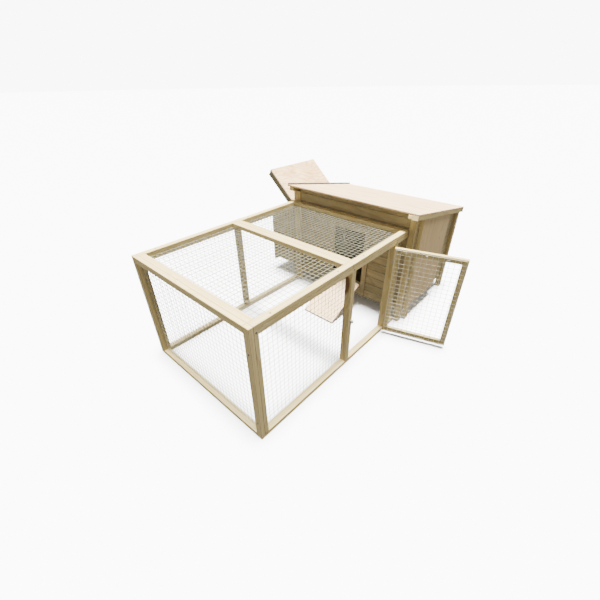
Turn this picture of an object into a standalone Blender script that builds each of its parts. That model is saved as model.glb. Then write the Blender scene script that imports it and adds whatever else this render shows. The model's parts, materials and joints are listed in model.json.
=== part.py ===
"""Rabbit hutch with a wire run, a raised house, a nest box with a lifting lid and a folding ramp.

Frame: +Z up, +Y from the front of the run towards the house, +X to the side with the run door.
Origin: on the ground, in the middle of the underside of the run's front bottom rail.
Units: metres. The door, the lid and the ramp are modelled open, as the hutch stands in use.
"""
import math

import bmesh
import bpy
from mathutils import Matrix, Vector

# ---------------------------------------------------------------- driving dimensions
GAP = 0.0003                # clearance between pieces that touch

RUN_WIDTH = 0.836
RUN_LENGTH = 1.119          # front face of the run to its rear end
RUN_HEIGHT = 0.600
FIRST_BAY = 0.603           # front face of the run to the joint between its two covers
RAIL_WIDTH = 0.032          # wide side of every rail and stile
RAIL_THICK = 0.021          # narrow side of every rail and stile
EASE = 0.0010               # eased corner of every board

MESH_PITCH = 0.150          # bars of the plain lattice that stands for the wire mesh
MESH_BAR = 0.0020
MESH_THICK = 0.0015
MESH_MARGIN = 0.006         # edge of the door's frame to its mesh

DOOR_OPENING = 0.355        # between the middle post and the hinge post
DOOR_PLAY = 0.003           # gap all round the door
DOOR_STILE = 0.027
DOOR_OPEN = 107.0           # degrees from closed
HINGE_HEIGHT = 0.045
HINGE_LEAF = 0.022
HINGE_PLATE = 0.0015
HINGE_BARREL = 0.0035       # outer radius of a hinge's barrel
HINGE_INSET = 0.060         # from the door's top and bottom to its hinges

BOLT_HEIGHT = 0.276         # of the bolt above the ground
BOLT_RADIUS = 0.003
BOLT_LENGTH = 0.036
BOLT_REST = 0.004           # how far the drawn bolt stands out of the door's free edge
BOLT_KNOB_RADIUS = 0.0018
BOLT_PLATE_LENGTH = 0.025
STRAP_WIDTH = 0.005
KEEPER_WALL = 0.002
KEEPER_WIDTH = 0.011

HOUSE_WIDTH = 0.889
HOUSE_DEPTH = 0.618
HOUSE_CLEAR = 0.003         # between the run and the house
HOUSE_BOTTOM = 0.076        # lower edge of the walls above the ground
POST = 0.032                # square section of the corner posts
LEFT_POST_WIDTH = 0.055
WALL = 0.012
WALL_INSET = 0.006          # front and back walls behind the faces of their posts
BOARD_PITCH = 0.053         # from one siding board to the next
GROOVE_DEPTH = 0.0025
GROOVE_WIDTH = 0.0060
FLOOR_TOP = 0.112
SIDE_PANEL_START = 0.054    # front of the house to the side panel's front edge
SIDE_PANEL_LENGTH = 0.396
SIDE_PANEL_THICK = 0.021
SIDE_PANEL_BOTTOM = 0.090
SIDE_LEG_WIDTH = 0.030

ROOF_FRONT_HEIGHT = 0.706   # top of the roof's front edge
ROOF_SLOPE = 10.7           # degrees, down towards the back
ROOF_THICK = 0.009
ROOF_FRONT_OVERHANG = 0.042
ROOF_BACK_OVERHANG = 0.055
ROOF_LEFT_OVERHANG = 0.018
ROOF_RIGHT_OVERHANG = 0.003
BATTEN_WIDTH = 0.032
BATTEN_HEIGHT = 0.024

HOLE_LEFT = 0.342           # left side of the house to the pop hole
HOLE_WIDTH = 0.232
HOLE_SILL = 0.165
HOLE_HEIGHT = 0.340
TRIM_WIDTH = 0.032
TRIM_THICK = 0.0055
RAMP_LENGTH = 0.318
RAMP_THICK = 0.012
RAMP_PLAY = 0.002           # at each side between the ramp and the pop hole

NEST_WIDTH = 0.222          # from the house to the outer wall's inner face
NEST_LENGTH = 0.438
NEST_START = 0.006          # front of the house to the nest box's front
NEST_BOTTOM = 0.114
NEST_OUTER_BOTTOM = 0.085
NEST_WAY_BOTTOM = 0.142     # of the way through the left wall into the nest box
NEST_WAY_TOP = 0.410
LID_PIVOT_HEIGHT = 0.583
LID_START = 0.012           # hinge pin to the lid's near edge
LID_LENGTH = 0.266
LID_THICK = 0.020
LID_CLOSED = 28.0           # degrees below level
LID_OVERHANG = 0.006        # past the nest box at each end
LID_OPEN = 42.0             # degrees above level
LID_LEAF = 0.026

# ---------------------------------------------------------------- places worked out from them
LEFT = -RUN_WIDTH / 2
RIGHT = RUN_WIDTH / 2
FRONT = -RAIL_WIDTH / 2
REAR = FRONT + RUN_LENGTH
JOINT = FRONT + FIRST_BAY
COVER_BOTTOM = RUN_HEIGHT - RAIL_THICK
SIDE_TOP = COVER_BOTTOM - GAP
SIDE_RAIL_BOTTOM = SIDE_TOP - RAIL_THICK
BEHIND_FRONT = FRONT + RAIL_THICK + GAP
MIDDLE_POST = JOINT - 0.006
DOOR_START = MIDDLE_POST + RAIL_WIDTH
DOOR_END = DOOR_START + DOOR_OPENING
HINGE_POST_END = DOOR_END + RAIL_WIDTH
PIN_OFFSET = HINGE_BARREL + 0.0010
HOUSE_FRONT = REAR + HOUSE_CLEAR
HOUSE_BACK = HOUSE_FRONT + HOUSE_DEPTH
HOUSE_RIGHT = LEFT + HOUSE_WIDTH
SIDE_FACE = HOUSE_RIGHT - SIDE_PANEL_THICK
SLOPE = math.tan(math.radians(ROOF_SLOPE))
ROOF_FRONT = HOUSE_FRONT - ROOF_FRONT_OVERHANG
ROOF_BACK = HOUSE_BACK + ROOF_BACK_OVERHANG
NEST_OUTER = LEFT - NEST_WIDTH
LID_PIN = LEFT - PIN_OFFSET
LID_FACE = EASE - HINGE_BARREL      # the lid's upper face below the pin

GALVANISED = ((0.62, 0.63, 0.62), 0.35, 1.0)
ZINC = ((0.55, 0.54, 0.50), 0.40, 1.0)
TIMBER = ((0.56, 0.44, 0.27), 0.62, 0.0)
SIDING = ((0.50, 0.39, 0.23), 0.65, 0.0)
ROOF = ((0.68, 0.55, 0.40), 0.60, 0.0)


def sheet_top(y):
    """Height of the roof's upper face above the point y."""
    return ROOF_FRONT_HEIGHT - (y - ROOF_FRONT) * SLOPE


def under_sheet(y):
    return sheet_top(y) - ROOF_THICK - GAP


def under_batten(y):
    return under_sheet(y) - BATTEN_HEIGHT - GAP


def under_lid(x):
    """Height at x of the shut lid's underside, less its clearance."""
    angle = math.radians(LID_CLOSED)
    drop = (LID_THICK - LID_FACE + 3 * GAP) / math.cos(angle)
    return LID_PIVOT_HEIGHT + (x - LID_PIN) * math.tan(angle) - drop


# ---------------------------------------------------------------- building blocks
def clear_scene():
    for item in list(bpy.data.objects):
        bpy.data.objects.remove(item, do_unlink=True)


def material(name, finish):
    colour, roughness, metallic = finish
    made = bpy.data.materials.new(name)
    made.use_nodes = True
    shader = made.node_tree.nodes["Principled BSDF"]
    shader.inputs["Base Color"].default_value = (*colour, 1.0)
    shader.inputs["Roughness"].default_value = roughness
    shader.inputs["Metallic"].default_value = metallic
    return made


def add_object(name, bm, finish, origin=(0.0, 0.0, 0.0), parent=None):
    """Make a node from a bmesh whose points are given from the parent's origin."""
    bmesh.ops.translate(bm, verts=bm.verts, vec=-Vector(origin))
    bmesh.ops.recalc_face_normals(bm, faces=bm.faces)
    mesh = bpy.data.meshes.new(name)
    bm.to_mesh(mesh)
    bm.free()
    node = bpy.data.objects.new(name, mesh)
    bpy.context.collection.objects.link(node)
    node.location = origin
    node.parent = parent
    mesh.materials.append(material(name, finish))
    return node


def add_axis(name, location, rotation=(0.0, 0.0, 0.0)):
    """An empty on a joint's axis, which carries the pieces that turn about it."""
    axis = bpy.data.objects.new(name, None)
    axis.location = location
    axis.rotation_euler = rotation
    bpy.context.collection.objects.link(axis)
    return axis


def block(low, high):
    """A bmesh box between two corners."""
    bm = bmesh.new()
    low, high = Vector(low), Vector(high)
    size = Matrix.Diagonal((*(high - low), 1.0))
    bmesh.ops.create_cube(bm, size=1.0, matrix=Matrix.Translation((low + high) / 2) @ size)
    return bm


def ease_edges(bm, width):
    bmesh.ops.bevel(bm, geom=bm.edges[:], offset=width, offset_type="OFFSET", segments=1,
                    profile=0.5, affect="EDGES", clamp_overlap=True, material=-1)


def board(name, low, high, finish=TIMBER, parent=None, ease=EASE):
    bm = block(low, high)
    ease_edges(bm, ease)
    centre = (Vector(low) + Vector(high)) / 2
    return add_object(name, bm, finish, centre, parent)


def guide(name, bm, parent=None):
    """A hidden solid that a Boolean modifier uses."""
    node = add_object(name, bm, ZINC, parent=parent)
    node.hide_render = True
    node.display_type = "WIRE"
    return node


def combine(node, other, operation):
    change = node.modifiers.new(operation.title() + " " + other.name, "BOOLEAN")
    change.operation = operation
    change.object = other
    change.solver = "EXACT"


def lattice(name, low, high, across, parent=None):
    """A flat grille between two corners; across is the axis (0, 1 or 2) of its thickness."""
    first, second = [axis for axis in range(3) if axis != across]

    def stations(start, end):
        cells = max(1, round((end - start - MESH_BAR) / MESH_PITCH))
        step = (end - start - MESH_BAR) / cells
        lines = [start + step * count for count in range(cells + 1)]
        return [place for line in lines for place in (line, line + MESH_BAR)]

    columns = stations(low[first], high[first])
    rows = stations(low[second], high[second])
    bm = bmesh.new()
    points = {}
    for i, u in enumerate(columns):
        for j, v in enumerate(rows):
            place = [0.0, 0.0, 0.0]
            place[first], place[second], place[across] = u, v, low[across]
            points[i, j] = bm.verts.new(place)
    for i in range(len(columns) - 1):
        for j in range(len(rows) - 1):
            if i % 2 and j % 2:
                continue
            bm.faces.new((points[i, j], points[i + 1, j], points[i + 1, j + 1], points[i, j + 1]))
    grown = bmesh.ops.extrude_face_region(bm, geom=bm.faces[:])
    raised = [item for item in grown["geom"] if isinstance(item, bmesh.types.BMVert)]
    lift = Vector((0.0, 0.0, 0.0))
    lift[across] = high[across] - low[across]
    bmesh.ops.translate(bm, verts=raised, vec=lift)
    return add_object(name, bm, GALVANISED, parent=parent)


def roofed_block(low, high, top):
    """A box whose upper face follows the roof: top gives its height at y."""
    bm = block((low[0], low[1], low[2]), (high[0], high[1], low[2] + 1.0))
    for vert in bm.verts:
        if vert.co.z > low[2] + 0.5:
            vert.co.z = top(vert.co.y)
    return bm


def cut_grooves(bm, outward, start, end):
    """V grooves between siding boards, on the face that looks along outward."""
    outward = Vector(outward)
    face_at = max(vert.co.dot(outward) for vert in bm.verts)
    height = start + BOARD_PITCH
    while height < end - GROOVE_WIDTH:
        for level in (height - GROOVE_WIDTH / 2, height, height + GROOVE_WIDTH / 2):
            everything = bm.verts[:] + bm.edges[:] + bm.faces[:]
            bmesh.ops.bisect_plane(bm, geom=everything, dist=1e-6,
                                   plane_co=(0, 0, level), plane_no=(0, 0, 1))
        for vert in bm.verts:
            on_line = abs(vert.co.z - height) < 1e-5
            if on_line and abs(vert.co.dot(outward) - face_at) < 1e-5:
                vert.co -= outward * GROOVE_DEPTH
        height += BOARD_PITCH


def upright(name, low, high, top, finish=TIMBER):
    bm = roofed_block(low, high, top)
    ease_edges(bm, EASE)
    return add_object(name, bm, finish)


def wall(name, low, high, top, outward):
    """A wall of tongued boards with grooves between them."""
    bm = roofed_block(low, high, top)
    cut_grooves(bm, outward, low[2], min(vert.co.z for vert in bm.verts if vert.co.z > low[2] + 0.01))
    return add_object(name, bm, SIDING)


def round_bar(start, end, radius, axis, segments=16):
    """A bmesh cylinder between two points that lie along X, Y or Z (axis 0, 1 or 2)."""
    quarter = math.pi / 2
    turn = (Matrix.Rotation(quarter, 4, "Y"), Matrix.Rotation(quarter, 4, "X"), Matrix.Identity(4))[axis]
    start, end = Vector(start), Vector(end)
    bm = bmesh.new()
    bmesh.ops.create_cone(bm, cap_ends=True, segments=segments, radius1=radius, radius2=radius,
                          depth=(end - start).length, matrix=Matrix.Translation((start + end) / 2) @ turn)
    return bm


def hinge_leaf(name, plate_low, plate_high, pin, barrel_low, barrel_high, along=2, parent=None):
    """A flat leaf joined to its length of barrel; along is the axis that the pin lies on."""
    leaf = add_object(name, block(plate_low, plate_high), ZINC, parent=parent)
    start, end = Vector(pin), Vector(pin)
    start[along], end[along] = barrel_low, barrel_high
    barrel = round_bar(start, end, HINGE_BARREL, along)
    combine(leaf, guide(name + "_barrel", barrel, parent), "UNION")
    return leaf


def screw_down(leaf, panel):
    """Make a hinge leaf one piece with the panel that it is screwed to."""
    leaf.hide_render = True
    leaf.display_type = "WIRE"
    combine(panel, leaf, "UNION")


# ---------------------------------------------------------------- the wire run
def build_front():
    inner = RIGHT - RAIL_WIDTH
    back = FRONT + RAIL_THICK
    board("front_left_stile", (LEFT, FRONT, 0), (-inner, back, RUN_HEIGHT))
    board("front_right_stile", (inner, FRONT, 0), (RIGHT, back, RUN_HEIGHT))
    end = inner - GAP
    board("front_top_rail", (-end, FRONT, RUN_HEIGHT - RAIL_WIDTH), (end, back, RUN_HEIGHT))
    board("front_bottom_rail", (-end, FRONT, 0), (end, FRONT + RAIL_WIDTH, RAIL_THICK))
    low = (-end, back + GAP, RAIL_THICK + GAP)
    lattice("front_mesh", low, (end, back + GAP + MESH_THICK, COVER_BOTTOM - GAP - RAIL_THICK), 1)


def build_side(name, inner, outer, post_spans):
    """Rails and posts of one side of the run; the stile, the rails and the posts are all full depth."""
    low_x, high_x = min(inner, outer), max(inner, outer)
    stile_end = BEHIND_FRONT + RAIL_THICK
    board(name + "_top_rail", (low_x, BEHIND_FRONT, SIDE_RAIL_BOTTOM), (high_x, REAR, SIDE_TOP))
    board(name + "_bottom_rail", (low_x, BEHIND_FRONT, 0), (high_x, REAR, RAIL_THICK))
    low_z, high_z = RAIL_THICK + GAP, SIDE_RAIL_BOTTOM - GAP
    board(name + "_front_stile", (low_x, BEHIND_FRONT, low_z), (high_x, stile_end, high_z))
    for post, (start, end) in post_spans.items():
        board(post, (low_x, start, low_z), (high_x, end, high_z))


def side_mesh(name, face, inward, start, end):
    """Wire stapled to the inner face of a side of the run."""
    near, far = face + inward * GAP, face + inward * (GAP + MESH_THICK)
    lattice(name, (min(near, far), start, GAP), (max(near, far), end, SIDE_TOP - 0.004), 0)


def build_sides():
    inner = RIGHT - RAIL_WIDTH
    middle = (MIDDLE_POST, MIDDLE_POST + RAIL_WIDTH)
    build_side("left", -inner, LEFT, {"left_middle_post": middle})
    build_side("right", inner, RIGHT, {
        "right_middle_post": middle,
        "right_hinge_post": (DOOR_END, HINGE_POST_END),
    })
    mesh_start = FRONT + RAIL_WIDTH + GAP
    side_mesh("left_mesh", -inner, 1, mesh_start, REAR)
    side_mesh("right_front_mesh", inner, -1, mesh_start, DOOR_START - 0.004)
    side_mesh("right_rear_mesh", inner, -1, DOOR_END + 0.004, REAR)


def build_covers():
    """Two rail frames laid on the sides, side by side along the run."""
    spans = {"cover_front": (BEHIND_FRONT, JOINT - GAP / 2), "cover_rear": (JOINT + GAP / 2, REAR)}
    inner = RIGHT - RAIL_WIDTH
    for name, (start, end) in spans.items():
        board(name + "_left_rail", (LEFT, start, COVER_BOTTOM), (-inner, end, RUN_HEIGHT))
        board(name + "_right_rail", (inner, start, COVER_BOTTOM), (RIGHT, end, RUN_HEIGHT))
        for cross, near in (("_near_rail", start), ("_far_rail", end - RAIL_WIDTH)):
            low = (-inner + GAP, near, COVER_BOTTOM)
            board(name + cross, low, (inner - GAP, near + RAIL_WIDTH, RUN_HEIGHT))
    side = inner - 2 * GAP - MESH_THICK
    top = COVER_BOTTOM - GAP
    start = BEHIND_FRONT + MESH_THICK + GAP
    lattice("cover_mesh", (-side, start, top - MESH_THICK), (side, REAR - GAP, top), 2)


# ---------------------------------------------------------------- the run door
def build_door():
    """The door hangs on its own axis: local +X runs to its free edge, +Y is its outer face's normal."""
    angle = math.radians(DOOR_OPEN - 90.0)
    pin = Vector((RIGHT + PIN_OFFSET, DOOR_END - DOOR_PLAY / 2, 0.0))
    axis = add_axis("door_axis", pin, (0.0, 0.0, angle))
    outer, inner = -PIN_OFFSET, -PIN_OFFSET - RAIL_THICK
    start = DOOR_PLAY / 2
    end = DOOR_OPENING - 1.5 * DOOR_PLAY
    low = RAIL_THICK + DOOR_PLAY
    high = SIDE_RAIL_BOTTOM - DOOR_PLAY
    board("door_hinge_stile", (start, inner, low), (start + DOOR_STILE, outer, high), parent=axis)
    board("door_latch_stile", (end - DOOR_STILE, inner, low), (end, outer, high), parent=axis)
    left, right = start + DOOR_STILE + GAP, end - DOOR_STILE - GAP
    board("door_bottom_rail", (left, inner, low), (right, outer, low + DOOR_STILE), parent=axis)
    board("door_top_rail", (left, inner, high - DOOR_STILE), (right, outer, high), parent=axis)
    far_low = (start + MESH_MARGIN, inner - GAP - MESH_THICK, low + MESH_MARGIN)
    lattice("door_mesh", far_low, (end - MESH_MARGIN, inner - GAP, high - MESH_MARGIN), 1, axis)
    build_door_hinges(axis, pin, low, high)
    build_bolt(axis, pin, end)


def build_door_hinges(axis, pin, low, high):
    leaf_start = HINGE_BARREL * 0.6
    spans = {"lower": low + HINGE_INSET, "upper": high - HINGE_INSET - HINGE_HEIGHT}
    for name, bottom in spans.items():
        middle, top = bottom + HINGE_HEIGHT / 2, bottom + HINGE_HEIGHT
        face = -PIN_OFFSET + GAP
        hinge_leaf("hinge_" + name + "_door_leaf", (leaf_start, face, middle + GAP),
                   (DOOR_PLAY / 2 + HINGE_LEAF, face + HINGE_PLATE, top),
                   (0, 0, 0), middle + GAP, top, parent=axis)
        face = RIGHT + GAP
        far = pin.y + DOOR_PLAY / 2 + HINGE_LEAF
        hinge_leaf("hinge_" + name + "_post_leaf", (face, pin.y + leaf_start, bottom),
                   (face + HINGE_PLATE, far, middle - GAP), pin, bottom, middle - GAP)


def build_bolt(axis, pin, free_edge):
    """A small barrel bolt, drawn back, on the door's outer face, and its keeper on the middle post."""
    face = -PIN_OFFSET + GAP
    centre = face + KEEPER_WALL + BOLT_RADIUS + 2 * GAP
    half = BOLT_RADIUS + GAP + KEEPER_WALL
    low, high = BOLT_HEIGHT - half, BOLT_HEIGHT + half

    plate_end = free_edge - 0.0015
    plate_start = plate_end - BOLT_PLATE_LENGTH
    plate = block((plate_start, face, low - 0.004), (plate_end, face + KEEPER_WALL, high + 0.004))
    plate = add_object("bolt_plate", plate, ZINC, parent=axis)
    rear_strap, front_strap = plate_start + 0.001, plate_end - 0.001 - STRAP_WIDTH
    for name, start in (("rear", rear_strap), ("front", front_strap)):
        strap = block((start, face + KEEPER_WALL / 2, low), (start + STRAP_WIDTH, centre + half, high))
        combine(plate, guide("bolt_strap_" + name, strap, axis), "UNION")
    bore_start, bore_end = (plate_start - 0.01, centre, BOLT_HEIGHT), (plate_end + 0.01, centre, BOLT_HEIGHT)
    bore = round_bar(bore_start, bore_end, BOLT_RADIUS + GAP, 0)
    combine(plate, guide("bolt_bore", bore, axis), "DIFFERENCE")

    tip = free_edge + BOLT_REST
    rod = round_bar((tip - BOLT_LENGTH, centre, BOLT_HEIGHT), (tip, centre, BOLT_HEIGHT), BOLT_RADIUS, 0)
    rod = add_object("bolt_rod", rod, ZINC, parent=axis)
    knob_at = rear_strap + STRAP_WIDTH + BOLT_KNOB_RADIUS + 2 * GAP
    knob_top = (knob_at, centre + BOLT_RADIUS + 0.005, BOLT_HEIGHT)
    knob = round_bar((knob_at, centre, BOLT_HEIGHT), knob_top, BOLT_KNOB_RADIUS, 1, 12)
    combine(rod, guide("bolt_knob", knob, axis), "UNION")

    # on the shut door, local +X is -Y and local +Y is +X
    bolt_x = pin.x + centre
    start = DOOR_START - 0.002 - KEEPER_WIDTH
    keeper_low = (RIGHT + GAP, start, low - 0.001)
    keeper = block(keeper_low, (bolt_x + half + 0.001, start + KEEPER_WIDTH, high + 0.001))
    keeper = add_object("bolt_keeper", keeper, ZINC)
    slot = BOLT_RADIUS + 2 * GAP
    hole_low = (bolt_x - slot, start - 0.01, BOLT_HEIGHT - slot)
    hole = block(hole_low, (bolt_x + slot, start + KEEPER_WIDTH + 0.01, BOLT_HEIGHT + slot))
    combine(keeper, guide("bolt_keeper_hole", hole), "DIFFERENCE")


# ---------------------------------------------------------------- the raised house
def build_posts():
    near, far = HOUSE_FRONT + POST, HOUSE_BACK - POST
    left_end = LEFT + LEFT_POST_WIDTH
    upright("house_front_left_post", (LEFT, HOUSE_FRONT, 0), (left_end, near, 0), under_batten)
    right_low = (SIDE_FACE - POST, HOUSE_FRONT, 0)
    upright("house_front_right_post", right_low, (SIDE_FACE - GAP, near, 0), under_batten)
    upright("house_back_left_post", (LEFT, far, 0), (LEFT + POST, HOUSE_BACK, 0), under_batten)
    right_low = (HOUSE_RIGHT - POST, far, 0)
    upright("house_back_right_post", right_low, (HOUSE_RIGHT, HOUSE_BACK, 0), under_batten)


def build_walls():
    front_low = HOUSE_FRONT + WALL_INSET
    left, right = LEFT + LEFT_POST_WIDTH + GAP, SIDE_FACE - POST - GAP
    low = (left, front_low, HOUSE_BOTTOM)
    front = wall("house_front_wall", low, (right, front_low + WALL, 0), under_sheet, (0, -1, 0))
    hole_low = Vector((LEFT + HOLE_LEFT, front_low - 0.05, HOLE_SILL))
    hole = block(hole_low, hole_low + Vector((HOLE_WIDTH, 0.1, HOLE_HEIGHT)))
    combine(front, guide("pop_hole", hole), "DIFFERENCE")

    back_high = HOUSE_BACK - WALL_INSET
    right = HOUSE_RIGHT - POST - GAP
    low = (LEFT + POST + GAP, back_high - WALL, HOUSE_BOTTOM)
    wall("house_back_wall", low, (right, back_high, 0), under_sheet, (0, 1, 0))

    start, end = HOUSE_FRONT + POST + GAP, HOUSE_BACK - POST - GAP
    low = (LEFT, start, HOUSE_BOTTOM)
    side = wall("house_left_wall", low, (LEFT + WALL, end, 0), under_batten, (-1, 0, 0))
    nest_low = HOUSE_FRONT + POST + 0.010
    nest_high = HOUSE_FRONT + NEST_START + NEST_LENGTH - WALL - 0.010
    way = block((LEFT - 0.05, nest_low, NEST_WAY_BOTTOM), (LEFT + 0.05, nest_high, NEST_WAY_TOP))
    combine(side, guide("nest_way", way), "DIFFERENCE")
    low = (SIDE_FACE - WALL, start, HOUSE_BOTTOM)
    wall("house_right_wall", low, (SIDE_FACE - GAP, end, 0), under_batten, (1, 0, 0))


def build_side_panel():
    """The plain board on the right wall; its front edge runs on down as a leg."""
    start = HOUSE_FRONT + SIDE_PANEL_START
    panel = roofed_block((SIDE_FACE, start, 0), (HOUSE_RIGHT, start + SIDE_PANEL_LENGTH, 0), under_batten)
    panel = add_object("house_side_panel", panel, TIMBER)
    low = (SIDE_FACE - 0.05, start + SIDE_LEG_WIDTH, -0.05)
    below = block(low, (HOUSE_RIGHT + 0.05, start + SIDE_PANEL_LENGTH + 0.05, SIDE_PANEL_BOTTOM))
    combine(panel, guide("below_side_panel", below), "DIFFERENCE")


def build_floor():
    """The floor board, let in round the back right post."""
    front = HOUSE_FRONT + POST + GAP
    back = HOUSE_BACK - WALL_INSET - WALL - GAP
    low = (LEFT + WALL + GAP, front, FLOOR_TOP - WALL)
    floor = add_object("house_floor", block(low, (SIDE_FACE - WALL - GAP, back, FLOOR_TOP)), SIDING)
    for name, edge in (("left", LEFT + POST + GAP), ("right", HOUSE_RIGHT - POST - GAP)):
        outside = edge - 0.1 if name == "left" else edge
        corner = block((outside, HOUSE_BACK - POST - GAP, 0.0), (outside + 0.1, HOUSE_BACK, 0.3))
        combine(floor, guide("floor_notch_" + name, corner), "DIFFERENCE")


def build_roof():
    left, right = LEFT - ROOF_LEFT_OVERHANG, HOUSE_RIGHT + ROOF_RIGHT_OVERHANG

    def slab(name, low_x, high_x, top, thick, finish):
        bm = block((low_x, ROOF_FRONT, 0), (high_x, ROOF_BACK, 1))
        for vert in bm.verts:
            vert.co.z = top(vert.co.y) - (thick if vert.co.z < 0.5 else 0.0)
        ease_edges(bm, EASE)
        return add_object(name, bm, finish)

    slab("roof_panel", left, right, sheet_top, ROOF_THICK, ROOF)
    slab("roof_left_batten", LEFT, LEFT + BATTEN_WIDTH, under_sheet, BATTEN_HEIGHT, TIMBER)
    slab("roof_right_batten", right - BATTEN_WIDTH, right, under_sheet, BATTEN_HEIGHT, TIMBER)


def build_pop_hole_and_ramp():
    """Trim round the pop hole, and the ramp that folds up against it."""
    wall_face = HOUSE_FRONT + WALL_INSET - GAP
    left, right = LEFT + HOLE_LEFT, LEFT + HOLE_LEFT + HOLE_WIDTH
    top = HOLE_SILL + HOLE_HEIGHT
    low = (left - TRIM_WIDTH, wall_face - TRIM_THICK, HOUSE_BOTTOM)
    trim = block(low, (right + TRIM_WIDTH, wall_face, top + TRIM_WIDTH))
    trim = add_object("pop_hole_trim", trim, TIMBER)
    inside = block((left, wall_face - 0.05, HOUSE_BOTTOM - 0.05), (right, wall_face + 0.05, top))
    combine(trim, guide("pop_hole_trim_inside", inside), "DIFFERENCE")

    pin = Vector(((left + right) / 2, HOUSE_FRONT - HINGE_BARREL - 0.0010, HOLE_SILL - HINGE_BARREL))
    high = HINGE_BARREL - HINGE_PLATE - GAP
    low = high - RAMP_THICK
    start = -HINGE_BARREL - 0.0015
    foot = start - RAMP_LENGTH
    slope = math.asin((pin.z - GAP) / math.hypot(foot, low)) - math.atan2(low, foot) - math.pi
    axis = add_axis("ramp_axis", pin, (slope, 0.0, 0.0))
    half = HOLE_WIDTH / 2 - RAMP_PLAY
    ramp = board("ramp", (-half, foot, low), (half, start, high), parent=axis)
    reach = half - 0.020
    leaf = hinge_leaf("ramp_board_leaf", (-reach, -HINGE_LEAF, high - EASE),
                      (-GAP, -HINGE_BARREL * 0.5, high + HINGE_PLATE), (0, 0, 0), -reach, -GAP, 0, axis)
    screw_down(leaf, ramp)
    low, half_plate = (pin.x + GAP, pin.y, pin.z - HINGE_PLATE / 2), HINGE_PLATE / 2
    hinge_leaf("ramp_wall_leaf", low, (pin.x + reach, wall_face, pin.z + half_plate),
               pin, pin.x + GAP, pin.x + reach, along=0)


# ---------------------------------------------------------------- the nest box
def build_nest_box():
    start = HOUSE_FRONT + NEST_START
    end = start + NEST_LENGTH
    inner = LEFT - GAP
    outer_top = under_lid(NEST_OUTER - WALL)

    def end_panel(name, near, outward):
        bm = block((NEST_OUTER + GAP, near, NEST_BOTTOM), (inner, near + WALL, 1.0))
        for vert in bm.verts:
            if vert.co.z > 0.5:
                vert.co.z = under_lid(vert.co.x)
        cut_grooves(bm, outward, NEST_BOTTOM, outer_top)
        return add_object(name, bm, SIDING)

    end_panel("nest_front_panel", start, (0, -1, 0))
    end_panel("nest_back_panel", end - WALL, (0, 1, 0))
    bm = block((NEST_OUTER - WALL, start, NEST_OUTER_BOTTOM), (NEST_OUTER, end, outer_top))
    cut_grooves(bm, (-1, 0, 0), NEST_OUTER_BOTTOM, outer_top)
    add_object("nest_outer_wall", bm, SIDING)
    low = (NEST_OUTER + GAP, start + WALL + GAP, NEST_BOTTOM)
    board("nest_floor", low, (inner, end - WALL - GAP, NEST_BOTTOM + WALL), SIDING)


def build_lid():
    """The lid hangs on a hinge on the house's left side; local -X runs to its free edge."""
    pin = Vector((LID_PIN, HOUSE_FRONT + NEST_START + NEST_LENGTH / 2, LID_PIVOT_HEIGHT))
    axis = add_axis("lid_axis", pin, (0.0, math.radians(LID_OPEN), 0.0))
    half = NEST_LENGTH / 2 + LID_OVERHANG
    low = (-LID_START - LID_LENGTH, -half, LID_FACE - LID_THICK)
    lid = board("nest_lid", low, (-LID_START, half, LID_FACE), ROOF, axis)
    reach = NEST_LENGTH / 2 - 0.040
    leaf = hinge_leaf("lid_board_leaf", (-LID_LEAF, -reach, LID_FACE - EASE),
                      (-HINGE_BARREL * 0.4, -GAP, LID_FACE + HINGE_PLATE), (0, 0, 0), -reach, -GAP, 1, axis)
    screw_down(leaf, lid)
    near, far = pin.y + GAP, pin.y + reach
    hinge_leaf("lid_wall_leaf", (LEFT - GAP - HINGE_PLATE, near, pin.z),
               (LEFT - GAP, far, pin.z + LID_LEAF), pin, near, far, 1)


clear_scene()
build_front()
build_sides()
build_covers()
build_door()
build_posts()
build_walls()
build_side_panel()
build_floor()
build_roof()
build_pop_hole_and_ramp()
build_nest_box()
build_lid()
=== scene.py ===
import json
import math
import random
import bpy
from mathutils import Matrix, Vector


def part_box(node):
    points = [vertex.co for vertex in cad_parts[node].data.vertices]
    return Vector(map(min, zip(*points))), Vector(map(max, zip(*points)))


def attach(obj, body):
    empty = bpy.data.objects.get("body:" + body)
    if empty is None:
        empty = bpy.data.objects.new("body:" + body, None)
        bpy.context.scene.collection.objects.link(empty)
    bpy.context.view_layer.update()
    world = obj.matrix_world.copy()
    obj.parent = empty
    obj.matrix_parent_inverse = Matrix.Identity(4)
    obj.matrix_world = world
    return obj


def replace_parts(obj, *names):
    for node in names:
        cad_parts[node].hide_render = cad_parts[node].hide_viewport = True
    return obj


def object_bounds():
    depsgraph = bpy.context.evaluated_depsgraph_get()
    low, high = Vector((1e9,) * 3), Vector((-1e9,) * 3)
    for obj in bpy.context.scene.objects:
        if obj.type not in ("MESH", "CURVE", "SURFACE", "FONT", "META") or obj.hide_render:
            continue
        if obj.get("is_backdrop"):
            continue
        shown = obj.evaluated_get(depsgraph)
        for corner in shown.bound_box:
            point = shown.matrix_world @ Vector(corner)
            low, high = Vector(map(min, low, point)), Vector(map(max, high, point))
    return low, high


bl_info = {
    "name": "Rabbit hutch",
    "version": (1, 0, 0),
    "blender": (4, 5, 0),
    "location": "3D View > Sidebar > Hutch",
    "description": "Finishes a packed timber rabbit hutch: grained boards, welded wire, screws and a stage",
    "category": "Object",
}

import bmesh
import bpy
from bpy.props import FloatProperty, FloatVectorProperty, IntProperty, PointerProperty
from mathutils import Euler, Matrix, Vector

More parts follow.
